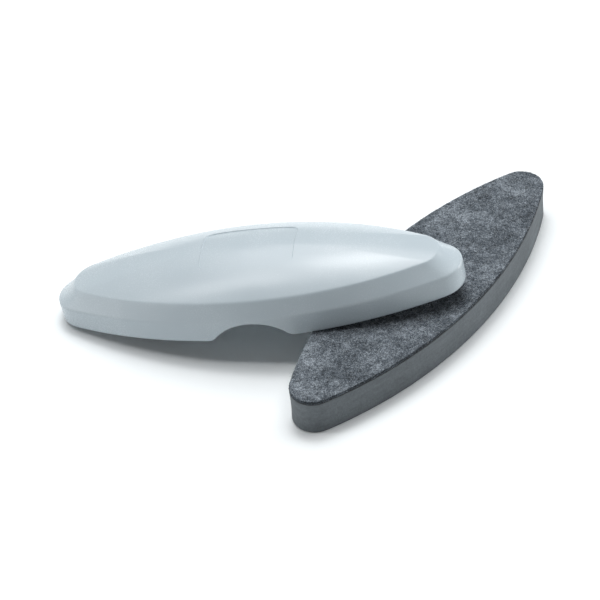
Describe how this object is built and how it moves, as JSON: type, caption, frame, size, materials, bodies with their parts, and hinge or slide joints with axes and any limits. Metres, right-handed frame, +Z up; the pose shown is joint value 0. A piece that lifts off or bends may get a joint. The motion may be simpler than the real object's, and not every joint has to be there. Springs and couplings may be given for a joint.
{
  "type": "whiteboard eraser",
  "caption": "Board eraser in two loose halves: a hollow lens-shaped grip shell leaning on its felt-faced foam pad.",
  "frame": {"origin": "middle of the footprint's bounding box, on the surface that the pad lies on", "axes": "+X along the shell from its low tip to the tip that rides on the pad, +Z up, +Y away from the side that faces the viewer"},
  "size_m": [0.1926, 0.1384, 0.0404],
  "materials": {
    "shell_plastic": "satin moulded plastic, pale silvery blue, very fine texture",
    "hook_tape": "black hook tape",
    "loop_tape": "black brushed loop tape",
    "pad_foam": "dark grey closed-cell foam, matte skin, clean cut sides",
    "bond_film": "dark adhesive film, seen only at its edge",
    "felt": "marled blue-grey needle felt"
  },
  "bodies": {
    "pad": {"pad_foam": "pad_foam", "bond_film": "bond_film", "felt_facing": "felt", "loop_patch_left": "loop_tape", "loop_patch_right": "loop_tape"},
    "cover": {"grip_shell": "shell_plastic", "hook_patch_left": "hook_tape", "hook_patch_right": "hook_tape"}
  },
  "joints": [
    {"name": "cover_lift", "type": "slide", "parent": "pad", "child": "cover", "axis": [0, 0, 1], "range_m": [0, 0.06]}
  ]
}
